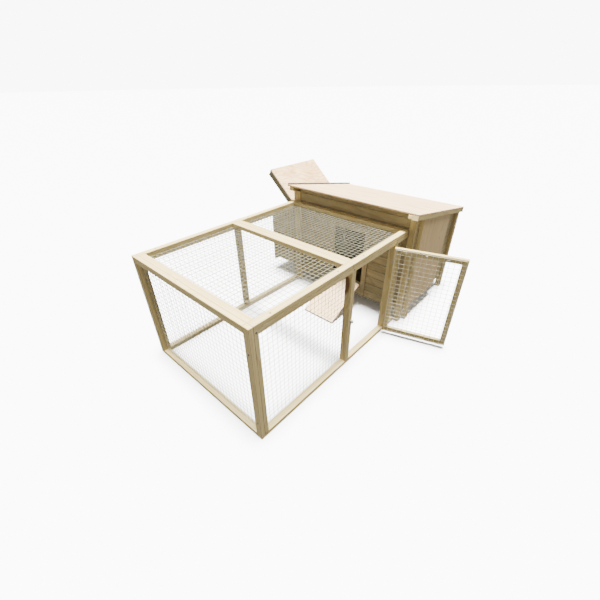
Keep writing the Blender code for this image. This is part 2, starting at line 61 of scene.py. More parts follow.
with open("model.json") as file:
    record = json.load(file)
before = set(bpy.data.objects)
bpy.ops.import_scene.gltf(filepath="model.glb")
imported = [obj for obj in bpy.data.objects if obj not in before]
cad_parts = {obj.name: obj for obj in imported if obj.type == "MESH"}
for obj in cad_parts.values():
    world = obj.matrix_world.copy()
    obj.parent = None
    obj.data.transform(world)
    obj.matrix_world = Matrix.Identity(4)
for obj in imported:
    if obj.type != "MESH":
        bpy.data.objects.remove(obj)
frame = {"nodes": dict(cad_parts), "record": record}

# Turns that lay a board's own X axis along X, Y or Z.
TURNS = {"X": (0.0, 0.0, 0.0), "Y": (0.0, 0.0, math.pi / 2), "Z": (0.0, -math.pi / 2, 0.0)}
DOOR_HINGE = next(row for row in frame["record"]["behaviour"]["joints"] if row["name"] == "run_door_hinge")
DOOR_TURN = math.radians(-DOOR_HINGE["range_deg"][0] - 90.0)
LID_TURN = math.radians(42.0)
ROOF_FALL = math.radians(10.7)
ROOF_TOP = 0.8913       # of the roof panel, measured square to its slope

# Walls and nest panels: the axis their grain runs along, the axis across them, and which side of that axis
# faces the dark inside.
WALLS = {
    "house_front_wall": ("X", 1, 1),
    "house_back_wall": ("X", 1, -1),
    "house_left_wall": ("Y", 0, 1),
    "house_right_wall": ("Y", 0, -1),
    "nest_front_panel": ("X", 1, 1),
    "nest_back_panel": ("X", 1, -1),
    "nest_outer_wall": ("Y", 0, 1),
}
# Nails in the wall boards: where their upright lines stand, and the level below which they stop.
NAILED = {
    "house_front_wall": ((-0.3500, 0.4050), 0.660),
    "house_back_wall": ((-0.3720, 0.0260, 0.4250), 0.550),
    "house_left_wall": ((1.5700, 1.6800), 0.555),
    "house_right_wall": ((1.5700, 1.6800), 0.555),
    "nest_outer_wall": ((1.1180, 1.5440), 0.430),
    "nest_front_panel": ((-0.6330, -0.4300), 0.440),
    "nest_back_panel": ((-0.6330, -0.4300), 0.440),
}
# Nails in the roof: the lines above the battens, the first one's place down the slope, pitch and number.
ROOF_NAIL_LINES = (-0.402, 0.458)
ROOF_NAIL_FIRST, ROOF_NAIL_PITCH, ROOF_NAILS = 0.945, 0.096, 8

# Each mesh: its piece, body, thin axis, turn about Z, the side the wood is on, the level its wires reach at
# least, and rows of staples as (axis along the row, axis the row is placed on, where).
SIDE_STAPLES = ((1, 2, 0.0105), (1, 2, 0.5670), (2, 1, 0.0205), (2, 1, 0.5970))
MESHES = {
    "front_mesh": ("front_wire", "hutch", 1, 0.0, -1, 0.5745, ((0, 2, 0.5715),)),
    "left_mesh": ("left_wire", "hutch", 0, 0.0, -1, 0.0, SIDE_STAPLES),
    "right_front_mesh": ("right_front_wire", "hutch", 0, 0.0, 1, 0.0, SIDE_STAPLES),
    "right_rear_mesh": ("right_rear_wire", "hutch", 0, 0.0, 1, 0.0,
                        ((1, 2, 0.0105), (1, 2, 0.5670), (2, 1, 0.9840))),
    "cover_mesh": ("cover_wire", "hutch", 2, 0.0, 1, 0.0,
                   ((0, 1, 0.0200), (0, 1, 0.5700), (0, 1, 0.6040), (0, 1, 1.0900))),
    "door_mesh": ("door_wire", "run_door", 1, DOOR_TURN, 1, 0.0,
                  ((0, 2, 0.0390), (0, 2, 0.5410), (2, 0, 0.7030), (2, 0, 1.0230))),
}
STEEL = ("hinge_lower_door_leaf", "hinge_lower_post_leaf", "hinge_upper_door_leaf", "hinge_upper_post_leaf",
         "bolt_plate", "bolt_rod", "bolt_keeper", "ramp_wall_leaf", "lid_wall_leaf")

# Screws of the run's frames: how far in from the outer faces, how far along, and at which levels.
COVER_RAIL_RISE = 0.0213        # from the top of the cover mesh to the top of the cover rails
COVER_SCREW_INSET, COVER_SCREWS = 0.014, (0.096, 0.490, 0.685)
FRONT_FACE, STILE_SCREW_INSET, STILE_SCREWS = -0.016, 0.016, (0.480, 0.097)
SIDE_RAIL_LEVELS, SIDE_POST_LINES = (0.0105, 0.5682), (0.0158, 0.597, 0.984)
LEFT_POSTS_END = 0.7            # the left side has no hinge post beyond this
# Screws of the moving and hinged pieces: piece, body, turn axis and angle, heads as (place, facing), share
# of a full head, and whether the head is dull. Places are measured before the turn.
HINGE_SCREWS = (
    ("door_screws", "run_door", ("Z", DOOR_TURN),
     [((u, 0.7962, z), (0, 1, 0)) for u in (0.7016, 1.0236) for z in (0.0330, 0.0430, 0.5350, 0.5460)],
     0.8, True),
    ("post_leaf_screws", "hutch", ("Z", 0.0),
     [((0.4198, 0.983, z), (1, 0, 0)) for z in (0.0885, 0.1015, 0.4545, 0.4670)], 0.62, False),
    ("door_leaf_screws", "run_door", ("Z", DOOR_TURN),
     [((0.703, 0.7980, z), (0, 1, 0)) for z in (0.1115, 0.1245, 0.4775, 0.4900)], 0.62, False),
    ("bolt_plate_screws", "run_door", ("Z", DOOR_TURN),
     [((1.0231, 0.7980, z), (0, 1, 0)) for z in (0.2690, 0.2830)], 0.36, False),
    ("lid_wall_screws", "hutch", ("Z", 0.0),
     [((-0.4198, y, 0.599), (-1, 0, 0)) for y in (1.355, 1.420, 1.486)], 0.62, False),
    ("lid_leaf_screws", "nest_lid", ("Y", LID_TURN),
     [((-0.7235, y, 0.1495), (0, 0, 1)) for y in (1.176, 1.240, 1.307)], 0.62, False),
)
SINK_SHARE = 1.4                # painted countersink shade round a frame screw: its size against the head

# Trims: piece, body, turn axis and angle, finish, slot, and bars as (low corner, high corner), which are
# measured before the turn.
TRIMS = (
    # Painted shadow: the dark strip on the roof's left edge stands in for the shade between the roof's edge
    # and the raised lid.
    ("roof_edge_shadow_strip", "hutch", ("X", -ROOF_FALL), "dark_ribbed", "roofing",
     (((-0.4355, 0.9156, ROOF_TOP), (-0.4255, 1.6390, 0.9013)),)),
    # Painted highlight: the corner block is made paler, for the light on the batten's end.
    ("roof_corner_block", "hutch", ("X", -ROOF_FALL), "highlit", "timber",
     (((0.4180, 0.9148, 0.8588), (0.4417, 0.9500, 0.8820)),
      ((0.4420, 0.9148, 0.8588), (0.4740, 0.9161, 0.8820)))),
    ("roof_corner_plate", "hutch", ("X", -ROOF_FALL), "dark_ribbed", "roofing",
     (((0.4740, 1.6160, 0.8606), (0.4754, 1.6390, 0.8806)),)),
    ("lid_edge_board", "nest_lid", ("Y", LID_TURN), "edging", "timber",
     (((-0.9742, 1.1000, 0.1080), (-0.7165, 1.1058, 0.1480)),)),
    # Painted highlight: a pale strip on the side panel's front edge, for the light that edge catches.
    ("side_panel_edge_highlight", "hutch", ("Z", 0.0), "highlit", "timber",
     (((0.4502, 1.1582, 0.0005), (0.4708, 1.1599, 0.6515)),)),
)

# Grain of planed softwood, as cycles per metre along or across a board.
RINGS_ACROSS, RINGS_DEEP = 70.0, 34.0
WARP_ALONG, WARP_ACROSS = 1.4, 9.0
KNOTS_ALONG, KNOTS_ACROSS = 2.6, 7.5
STREAKS_ALONG, STREAKS_ACROSS = 2.0, 46.0
FIBRES_ALONG, FIBRES_ACROSS = 14.0, 620.0
KNOT_REACH = 0.17               # of the largest knots, as a share of their cell
BROAD_CONTRAST = 0.8            # power that deepens the grain of broad boards
INSIDE_SKIN = 0.0006            # depth of the inner face of a wall that is painted dark as shade
# Share of a wood's red, green and blue that is left in its darker parts.
LATE_RING = (0.66, 0.58, 0.46)
# Painted shadow in the grooves between the wall boards.
GROOVE_SHADOW = (0.24, 0.19, 0.13)
WORN_EDGE = (0.40, 0.33, 0.24)
# Painted shade on the faces inside the house and the nest box, and on the lid's front end.
PAINTED_SHADE_DARK = (0.16, 0.14, 0.11)
KNOT_HEART = (0.30, 0.19, 0.12)
WEATHERED = (0.42, 0.36, 0.27, 1.0)

SKY_STRENGTH = 0.62
SUN_STRENGTH, SUN_SPREAD, SUN_FROM = 36.0, math.radians(14.0), Vector((0.015, 0.02, 1.0))
FLOOR_SIZE, FLOOR_DROP, FLOOR_COLOUR = 110.0, 0.0005, (0.93, 0.93, 0.93)
BACKDROP_RADIUS, BACKDROP_GLOW = 95.0, 9.0
CAMERA_PLACE = (1.1005, -0.5115, 1.2678)
CAMERA_DOWN, CAMERA_HEADING, CAMERA_ROLL = math.radians(33.82), math.radians(42.44), math.radians(-0.787)
CAMERA_LENS, CAMERA_SENSOR = 19.62, 36.0


# ------------------------------------------------------------------ settings
class HutchSizes(bpy.types.PropertyGroup):
    mesh_pitch: FloatProperty(
        name="Mesh pitch", description="Distance between the wires of the welded mesh",
        default=0.025, min=0.01, max=0.06, unit="LENGTH")
    wire: FloatProperty(
        name="Wire", description="Thickness of the mesh wire",
        default=0.0018, min=0.0005, max=0.003, unit="LENGTH")
    board_pitch: FloatProperty(
        name="Board pitch", description="Distance between the grooves of the house walls",
        default=0.053, min=0.02, max=0.12, unit="LENGTH")
    screw_head: FloatProperty(
        name="Screw head", description="Diameter of the screws that hold the rails",
        default=0.0078, min=0.004, max=0.012, unit="LENGTH")
    nail_head: FloatProperty(
        name="Nail head", description="Diameter of the nails in the wall boards",
        default=0.0034, min=0.002, max=0.006, unit="LENGTH")
    staple_every: IntProperty(
        name="Staple spacing", description="Mesh wires from one staple to the next",
        default=4, min=2, max=12)


class HutchColours(bpy.types.PropertyGroup):
    timber: FloatVectorProperty(
        name="Timber", description="Pale wood of the rails and posts",
        default=(0.48, 0.38, 0.160), size=3, min=0.0, max=1.0, subtype="COLOR")
    siding: FloatVectorProperty(
        name="Siding", description="Wood of the wall boards",
        default=(0.34, 0.275, 0.135), size=3, min=0.0, max=1.0, subtype="COLOR")
    panel: FloatVectorProperty(
        name="Side panel", description="Tan wood of the panel on the house's right wall",
        default=(0.50, 0.36, 0.165), size=3, min=0.0, max=1.0, subtype="COLOR")
    sheet: FloatVectorProperty(
        name="Roof and lid", description="Pinkish planed wood of the roof, the lid and the ramp",
        default=(0.66, 0.475, 0.27), size=3, min=0.0, max=1.0, subtype="COLOR")
    steel: FloatVectorProperty(
        name="Hinges and bolt", description="Zinc plate on the hinges, the bolt and the screws",
        default=(0.46, 0.43, 0.37), size=3, min=0.0, max=1.0, subtype="COLOR")
    wire: FloatVectorProperty(
        name="Wire", description="Galvanised wire of the mesh",
        default=(0.32, 0.30, 0.205), size=3, min=0.0, max=1.0, subtype="COLOR")
    # Painted highlight: the door's wire is paler than the rest of the mesh, for the light it catches.
    door_wire: FloatVectorProperty(
        name="Door wire", description="Brighter, newer wire of the run door",
        default=(0.62, 0.56, 0.38), size=3, min=0.0, max=1.0, subtype="COLOR")


# ------------------------------------------------------------------ node helpers
class Recipe:
    """A material under construction: each call adds a node and returns its first output."""

    def __init__(self, name):
        self.material = bpy.data.materials.new(name)
        self.material.use_nodes = True
        self.tree = self.material.node_tree
        self.shader = self.tree.nodes["Principled BSDF"]
        self.column = 0

    def node(self, kind, values=(), **settings):
        made = self.tree.nodes.new(kind)
        made.location = (-1800 + 180 * self.column, 0)
        self.column += 1
        for name, value in settings.items():
            setattr(made, name, value)
        for socket, value in dict(values).items():
            self.feed(made.inputs[socket], value)
        return made

    def feed(self, socket, value):
        if isinstance(value, bpy.types.NodeSocket):
            self.tree.links.new(value, socket)
        else:
            socket.default_value = value

    def maths(self, operation, *values):
        return self.node("ShaderNodeMath", dict(enumerate(values)), operation=operation).outputs[0]

    def weigh(self, *terms):
        """The sum of (value, weight) pairs."""
        total = 0.0
        for value, weight in terms:
            total = self.maths("MULTIPLY_ADD", value, weight, total)
        return total

    def part(self, vector, axis):
        return self.node("ShaderNodeSeparateXYZ", {0: vector}).outputs[axis]

    def here(self):
        return self.node("ShaderNodeTexCoord").outputs["Object"]

    def place(self, centre=(0.0, 0.0, 0.0), turn=(0.0, 0.0, 0.0)):
        """Coordinates of a board: the origin at its centre, and X along its grain."""
        values = {"Vector": self.here(), "Location": centre, "Rotation": turn}
        return self.node("ShaderNodeMapping", values, vector_type="TEXTURE").outputs[0]

    def stretch(self, vector, scale, shift=(0.0, 0.0, 0.0)):
        values = {"Vector": vector, "Scale": scale, "Location": shift}
        return self.node("ShaderNodeMapping", values).outputs[0]

    def noise(self, vector, scale, detail=3.0, roughness=0.5):
        values = {"Vector": vector, "Scale": scale, "Detail": detail, "Roughness": roughness}
        return self.node("ShaderNodeTexNoise", values).outputs["Fac"]

    def ramp(self, value, low, high, low_colour, high_colour):
        made = self.node("ShaderNodeValToRGB", {"Fac": value})
        stops = made.color_ramp.elements
        stops[0].position, stops[1].position = low, high
        stops[0].color, stops[1].color = (*low_colour, 1.0), (*high_colour, 1.0)
        return made.outputs[0]

    def remap(self, value, low, high, to_low, to_high):
        values = {"Value": value, "From Min": low, "From Max": high, "To Min": to_low, "To Max": to_high}
        return self.node("ShaderNodeMapRange", values).outputs[0]

    def mix(self, share, first, second, blend="MIX"):
        made = self.node("ShaderNodeMix", data_type="RGBA", blend_type=blend)
        self.feed(made.inputs[0], share)
        self.feed(made.inputs[6], first)
        self.feed(made.inputs[7], second)
        return made.outputs[2]

    def bump(self, height, strength, distance):
        values = {"Height": height, "Strength": strength, "Distance": distance}
        return self.node("ShaderNodeBump", values).outputs[0]

    def finish(self, **sockets):
        for name, value in sockets.items():
            self.feed(self.shader.inputs[name.replace("_", " ")], value)
        return self.material


def shade(colour, factor):
    return tuple(min(1.0, part * factor) for part in colour)


def leave(colour, shares):
    """A colour with alpha of which only a share of each channel is left."""
    return (*(part * share for part, share in zip(colour, shares)), 1.0)


# ------------------------------------------------------------------ materials
def planed_wood(name, colour, node, turn, seed, courses=None, knots=1.0, inside=None, broad=1.0):
    """Planed softwood with its grain along the board.

    courses is (lowest edge, pitch) of stacked boards, with painted shadow in their grooves; inside is
    (axis, side, where) of a face that is painted dark as shade; broad spreads and deepens the grain, as on
    wide boards.
    """
    rng = random.Random(seed)
    wood = Recipe(name)
    centre = middle(node)
    along = wood.place(centre, turn)
    worn = worn_edges(wood, along, half_size(node, centre, turn))
    shift = tuple(rng.uniform(-9.0, 9.0) for _ in range(3))
    along = wood.stretch(along, (1.0, 1.0, 1.0), shift)
    tint = rng.uniform(0.93, 1.05)
    if courses:
        lowest, pitch = courses
        height = wood.maths("SUBTRACT", wood.part(wood.here(), 2), lowest)
        course = wood.maths("ADD", wood.maths("FLOOR", wood.maths("DIVIDE", height, pitch)), seed * 7.31)
        dice = wood.node("ShaderNodeTexWhiteNoise", {"W": course}, noise_dimensions="1D")
        jump = {0: dice.outputs["Color"], 1: (7.0, 3.0, 5.0)}
        jump = wood.node("ShaderNodeVectorMath", jump, operation="MULTIPLY").outputs[0]
        along = wood.node("ShaderNodeVectorMath", {0: along, 1: jump}, operation="ADD").outputs[0]

    warp = wood.noise(wood.stretch(along, (WARP_ALONG, WARP_ACROSS, WARP_ACROSS)), 1.0, 2.0)
    cells = wood.stretch(along, (KNOTS_ALONG, KNOTS_ACROSS, KNOTS_ACROSS))
    cells = wood.node("ShaderNodeTexVoronoi", {"Vector": cells, "Scale": 1.0})
    knot_size = wood.remap(cells.outputs["Color"], 0.55, 1.0, 0.0, KNOT_REACH * knots)
    to_knot = wood.maths("SUBTRACT", cells.outputs["Distance"], knot_size)
    halo = wood.remap(to_knot, 0.0, 0.30, 1.0, 0.0)
    rings = wood.weigh((wood.part(along, 1), RINGS_ACROSS / broad), (wood.part(along, 2), RINGS_DEEP / broad),
                       (warp, 7.0), (halo, 2.6))
    ring = wood.maths("POWER", wood.maths("FRACT", rings), 2.2)
    fibre = wood.noise(wood.stretch(along, (FIBRES_ALONG, FIBRES_ACROSS, FIBRES_ACROSS)), 1.0, 3.0, 0.6)
    streak = [scale / broad for scale in (STREAKS_ALONG, STREAKS_ACROSS, STREAKS_ACROSS)]
    streak = wood.noise(wood.stretch(along, streak), 1.0, 3.0, 0.55)

    tone = wood.weigh((ring, 0.42), (wood.remap(streak, 0.3, 0.7, 0, 1), 0.34),
                      (wood.remap(fibre, 0.35, 0.75, 0, 1), 0.16))
    tone = wood.maths("MULTIPLY", tone, broad ** BROAD_CONTRAST)
    shown = wood.mix(tone, (*shade(colour, 1.10 * tint), 1.0), leave(shade(colour, tint), LATE_RING))
    if courses:
        darker = wood.remap(dice.outputs["Value"], 0.0, 1.0, 0.84, 1.10)
        grey = wood.node("ShaderNodeCombineColor", {0: darker, 1: darker, 2: darker}).outputs[0]
        shown = wood.mix(1.0, shown, grey, "MULTIPLY")
        # Painted shadow: the wall boards darken toward their grooves.
        shadow = wood.remap(wood.maths("PINGPONG", height, pitch / 2), 0.0010, 0.0036, 0.50, 0.0)
        shown = wood.mix(shadow, shown, leave(colour, GROOVE_SHADOW))
    else:
        shown = wood.mix(wood.maths("MULTIPLY", worn, 0.55), shown, leave(colour, WORN_EDGE))
    # Painted shade: the face inside is darkened.
    if inside:
        axis, side, where = inside
        within = wood.maths("GREATER_THAN" if side > 0 else "LESS_THAN", wood.part(wood.here(), axis), where)
        shown = wood.mix(wood.maths("MULTIPLY", within, 0.88), shown, leave(colour, PAINTED_SHADE_DARK))
    heart = wood.remap(to_knot, -0.02, 0.035, 1.0, 0.0)
    heart = wood.maths("MULTIPLY", heart, wood.remap(knot_size, 0.015, 0.03, 0.0, 1.0))
    shown = wood.mix(heart, shown, leave(colour, KNOT_HEART))
    weather = wood.noise(wood.place(), 5.0, 4.0, 0.6)
    shown = wood.mix(wood.remap(weather, 0.45, 0.8, 0.0, 0.16), shown, WEATHERED)
    rough = wood.remap(fibre, 0.2, 0.8, 0.52, 0.74)
    relief = wood.bump(wood.weigh((ring, -0.5), (fibre, -0.8)), 0.35, 0.0005)
    wood.shader.inputs["Specular IOR Level"].default_value = 0.32
    return wood.finish(Base_Color=shown, Roughness=rough, Normal=relief)


def half_size(node, centre, turn):
    """Half the size of a node along axes turned as its board is."""
    back = Euler(turn).to_matrix().transposed()
    points = [back @ (vert.co - centre) for vert in frame["nodes"][node].data.vertices]
    return [max(abs(point[axis]) for point in points) for axis in range(3)]


def worn_edges(wood, along, half):
    """1 on the edges of a board and 0 away from them, broken up where it was rubbed."""
    size = wood.node("ShaderNodeVectorMath", {0: along}, operation="ABSOLUTE").outputs[0]
    depth = wood.node("ShaderNodeVectorMath", {0: half, 1: size}, operation="SUBTRACT").outputs[0]
    first, second, third = (wood.part(depth, axis) for axis in range(3))
    least = wood.maths("MINIMUM", first, second)
    most = wood.maths("MAXIMUM", first, second)
    edge = wood.maths("MAXIMUM", least, wood.maths("MINIMUM", most, third))
    rub = wood.noise(along, 34.0, 3.0, 0.6)
    reach = wood.remap(rub, 0.3, 0.7, 0.0008, 0.0026)
    return wood.remap(wood.maths("DIVIDE", edge, reach), 0.35, 1.0, 1.0, 0.0)


def galvanised(name, colour):
    """Zinc-dipped wire: dull, with cloudy patches and a few runs."""
    wire = Recipe(name)
    where = wire.place()
    cloud = wire.noise(where, 60.0, 4.0, 0.6)
    grain = wire.noise(where, 900.0, 2.0, 0.5)
    shown = wire.ramp(cloud, 0.35, 0.70, shade(colour, 0.80), shade(colour, 1.18))
    rough = wire.remap(grain, 0.2, 0.8, 0.30, 0.55)
    wire.shader.inputs["Metallic"].default_value = 0.35
    return wire.finish(Base_Color=shown, Roughness=rough, Normal=wire.bump(grain, 0.25, 0.0002))


def zinc_plate(name, colour, metal=0.92):
    """Yellowed zinc plate with brushed scratches and dull spots."""
    plate = Recipe(name)
    where = plate.place()
    scratch = plate.noise(plate.stretch(where, (1500.0, 1500.0, 110.0)), 1.0, 2.0, 0.5)
    spot = plate.noise(where, 130.0, 4.0, 0.65)
    shown = plate.ramp(spot, 0.35, 0.72, shade(colour, 0.62), shade(colour, 1.25))
    rough = plate.remap(plate.maths("ADD", scratch, spot), 0.6, 1.4, 0.28, 0.58)
    plate.shader.inputs["Metallic"].default_value = metal
    return plate.finish(Base_Color=shown, Roughness=rough, Normal=plate.bump(scratch, 0.3, 0.0001))


def dark_ribbed(name, colour):
    """Dark, faintly ribbed strip with a dusty bloom; on the roof's left edge and round the frame screws it is
    painted shadow.
    """
    strip = Recipe(name)
    where = strip.place()
    bloom = strip.noise(where, 70.0, 4.0, 0.6)
    ribs = strip.maths("FRACT", strip.maths("MULTIPLY", strip.part(where, 1), 160.0))
    shown = strip.ramp(bloom, 0.35, 0.75, colour, shade(colour, 2.6))
    rough = strip.remap(bloom, 0.2, 0.8, 0.55, 0.80)
    return strip.finish(Base_Color=shown, Roughness=rough, Normal=strip.bump(ribs, 0.3, 0.0003))


def chalky(name, colour):
    """The matt floor of the stage."""
    floor = Recipe(name)
    cloud = floor.noise(floor.place(), 3.0, 3.0)
    shown = floor.ramp(cloud, 0.3, 0.7, shade(colour, 0.99), colour)
    return floor.finish(Base_Color=shown, Roughness=0.95)


def ringed_cut(name, colour):
    """Cut wood: close rings and open pores."""
    cut = Recipe(name)
    where = cut.place()
    warp = cut.noise(where, 22.0, 2.0)
    rings = cut.weigh((cut.part(where, 0), 260.0), (warp, 9.0))
    ring = cut.maths("POWER", cut.maths("FRACT", rings), 2.0)
    pores = cut.noise(where, 700.0, 2.0, 0.6)
    shown = cut.ramp(ring, 0.0, 1.0, colour, shade(colour, 0.74))
    shown = cut.mix(cut.remap(pores, 0.55, 0.8, 0.0, 0.35), shown, (*shade(colour, 0.45), 1.0))
    return cut.finish(Base_Color=shown, Roughness=cut.remap(pores, 0.2, 0.8, 0.6, 0.85),
                      Normal=cut.bump(pores, 0.3, 0.0003))


def glowing(name, strength):
    """The even white of the studio backdrop."""
    backdrop = Recipe(name)
    backdrop.shader.inputs["Emission Color"].default_value = (1.0, 1.0, 1.0, 1.0)
    return backdrop.finish(Base_Color=(0.0, 0.0, 0.0, 1.0), Emission_Strength=strength, Roughness=1.0)


# ------------------------------------------------------------------ mesh helpers
def make_object(name, bm, material):
    """An object at the origin from a mesh that is already in place."""
    mesh = bpy.data.meshes.new(name)
    bm.to_mesh(mesh)
    bm.free()
    mesh.materials.append(material)
    made = bpy.data.objects.new(name, mesh)
    bpy.context.scene.collection.objects.link(made)
    return made


def add_piece(name, bm, material, body):
    """Make an object that rides on a body."""
    piece = make_object(name, bm, material)
    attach(piece, body)
    return piece


def upright(facing):
    """The turn that takes Z to a direction."""
    return Vector((0, 0, 1)).rotation_difference(Vector(facing)).to_matrix().to_4x4()


def sunk(place, facing, depth):
    """Move to a place on a face and a little way in."""
    return Matrix.Translation(Vector(place) - Vector(facing).normalized() * depth)


def add_rod(bm, start, end, radius, sides=6):
    """A closed bar between two points."""
    start, end = Vector(start), Vector(end)
    run = end - start
    bmesh.ops.create_cone(bm, cap_ends=True, segments=sides, radius1=radius, radius2=radius,
                          depth=run.length, matrix=Matrix.Translation((start + end) / 2) @ upright(run))


def add_bar(bm, low, high):
    """A square bar between two corners, its edges eased."""
    low, high = Vector(low), Vector(high)
    made = bmesh.ops.create_cube(bm, size=1.0, matrix=Matrix.Translation((low + high) / 2)
                                 @ Matrix.Diagonal((*(high - low), 1.0)))["verts"]
    edges = list({edge for vert in made for edge in vert.link_edges})
    ease = min(high - low) * 0.2
    bmesh.ops.bevel(bm, geom=edges, offset=ease, affect="EDGES", segments=2, profile=0.5, material=-1)


def add_staple(bm, place, run, across, wood):
    """A staple astride a wire: its crown along the row and its legs in the wood."""
    half_crown, leg_length, thickness, stand = 0.0035, 0.0050, 0.0012, 0.0007
    crown, inward = Vector(), Vector()
    crown[run], inward[across] = half_crown, wood
    place = place - inward * stand
    add_rod(bm, place - crown, place + crown, thickness / 2, 4)
    for side in (-1, 1):
        add_rod(bm, place + crown * side, place + crown * side + inward * leg_length, thickness / 2, 4)


def add_screw(bm, place, facing, diameter):
    """A countersunk head with a cross recess, standing a hair proud of the wood."""
    others = set(bm.verts)
    head = bmesh.ops.create_cone(bm, cap_ends=True, segments=12, radius1=diameter / 2,
                                 radius2=diameter * 0.46, depth=0.0012)["verts"]
    faces = {face for vert in head for face in vert.link_faces}
    top = max(faces, key=lambda face: face.calc_center_median().z)
    bmesh.ops.inset_individual(bm, faces=[top], thickness=diameter * 0.12)
    for number, vert in enumerate(top.verts):
        if number % 3:
            vert.co.xy *= 0.42
    bmesh.ops.inset_individual(bm, faces=[top], thickness=diameter * 0.01, depth=-0.0006)
    bmesh.ops.transform(bm, verts=[vert for vert in bm.verts if vert not in others],
                        matrix=sunk(place, facing, 0.0003) @ upright(facing))


def add_nail(bm, place, facing, diameter):
    """A small flat nail head with a sloping rim."""
    bmesh.ops.create_cone(bm, cap_ends=True, segments=8, radius1=diameter / 2, radius2=diameter * 0.36,
                          depth=0.0010, matrix=sunk(place, facing, 0.0002) @ upright(facing))


def give(nodes, material):
    """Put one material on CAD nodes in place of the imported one."""
    for node in nodes:
        mesh = frame["nodes"][node].data
        mesh.materials.clear()
        mesh.materials.append(material)


def middle(node):
    low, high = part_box(node)
    return (low + high) / 2


def longest(node):
    low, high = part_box(node)
    size = high - low
    return "XYZ"[max(range(3), key=lambda axis: size[axis])]


# ------------------------------------------------------------------ operators
class HUTCH_OT_timber(bpy.types.Operator):
    """Give every rail, stile, post and batten its own grained board"""
    bl_idname = "hutch.timber"
    bl_label = "Rails and posts"

    def execute(self, context):
        colour = context.scene.hutch_colours.timber
        finished_apart = {"ramp", "house_side_panel", "pop_hole_trim"}
        slots = {row["node"]: row["material_slot"] for row in frame["record"]["subparts"]}
        for seed, node in enumerate(sorted(slots)):
            if slots[node] != "timber" or node in finished_apart:
                continue
            turn = list(TURNS[longest(node)])
            if node.startswith("door_"):
                turn = [0.0, 0.0, DOOR_TURN] if "rail" in node else [0.0, -math.pi / 2, DOOR_TURN]
            if node.startswith("roof_"):
                turn = Euler((-ROOF_FALL, 0, 0)).to_matrix() @ Euler(TURNS["Y"]).to_matrix()
                turn = list(turn.to_euler())
            give([node], planed_wood("timber_" + node, colour, node, turn, seed))
        give(["house_side_panel"], planed_wood(
            "timber_side_panel", context.scene.hutch_colours.panel, "house_side_panel", TURNS["Z"], 201))
        trim = context.scene.hutch_colours.siding
        give(["pop_hole_trim"], planed_wood("timber_pop_hole", trim, "pop_hole_trim", TURNS["Z"], 202))
        return {"FINISHED"}


class HUTCH_OT_siding(bpy.types.Operator):
    """Give the walls and the nest box their stacked boards, with painted shade on the faces inside and on the
    floors
    """
    bl_idname = "hutch.siding"
    bl_label = "Wall boards"

    def execute(self, context):
        colour = context.scene.hutch_colours.siding
        pitch = context.scene.hutch_sizes.board_pitch
        for seed, (node, (grain, axis, side)) in enumerate(WALLS.items()):
            low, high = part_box(node)
            courses = None if node == "house_right_wall" else (low.z, pitch)
            inside = (axis, side, (high if side > 0 else low)[axis] - side * INSIDE_SKIN)
            give([node], planed_wood(
                "siding_" + node, colour, node, TURNS[grain], 300 + seed, courses, inside=inside))
        # Painted shade: the floors of the house and the nest box are darkened to 0.35 and 0.16 of the siding
        # colour.
        for seed, (node, depth) in enumerate((("house_floor", 0.35), ("nest_floor", 0.16))):
            give([node], planed_wood("shade_darkened_boards_" + node, shade(colour, depth), node, TURNS["X"], 340 + seed))
        return {"FINISHED"}


class HUTCH_OT_sheets(bpy.types.Operator):
    """Give the roof, the nest box lid and the ramp their pale planed boards"""
    bl_idname = "hutch.sheets"
    bl_label = "Roof, lid and ramp"

    def execute(self, context):
        colour = context.scene.hutch_colours.sheet
        fall = tuple(Euler((-ROOF_FALL, 0.0, 0.0)))
        give(["roof_panel"], planed_wood("sheet_roof", colour, "roof_panel", fall, 401, knots=0.4, broad=2.0))
        rise = (0.0, LID_TURN, math.pi / 2)
        peach = leave(colour, (1.0, 0.95, 0.84))[:3]
        # Painted shade: the lid's front end is darkened.
        dark_front = (1, -1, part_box("nest_lid")[0].y + 0.0008)
        give(["nest_lid"], planed_wood(
            "sheet_lid", peach, "nest_lid", rise, 402, knots=0.4, broad=2.0, inside=dark_front))
        give(["ramp"], planed_wood("sheet_ramp", colour, "ramp", TURNS["X"], 403, knots=0.5))
        return {"FINISHED"}


class HUTCH_OT_steel(bpy.types.Operator):
    """Give the hinges, the bolt and its keeper their plated finish"""
    bl_idname = "hutch.steel"
    bl_label = "Hinges and bolt"

    def execute(self, context):
        give(STEEL, zinc_plate("zinc_fittings", context.scene.hutch_colours.steel))
        return {"FINISHED"}


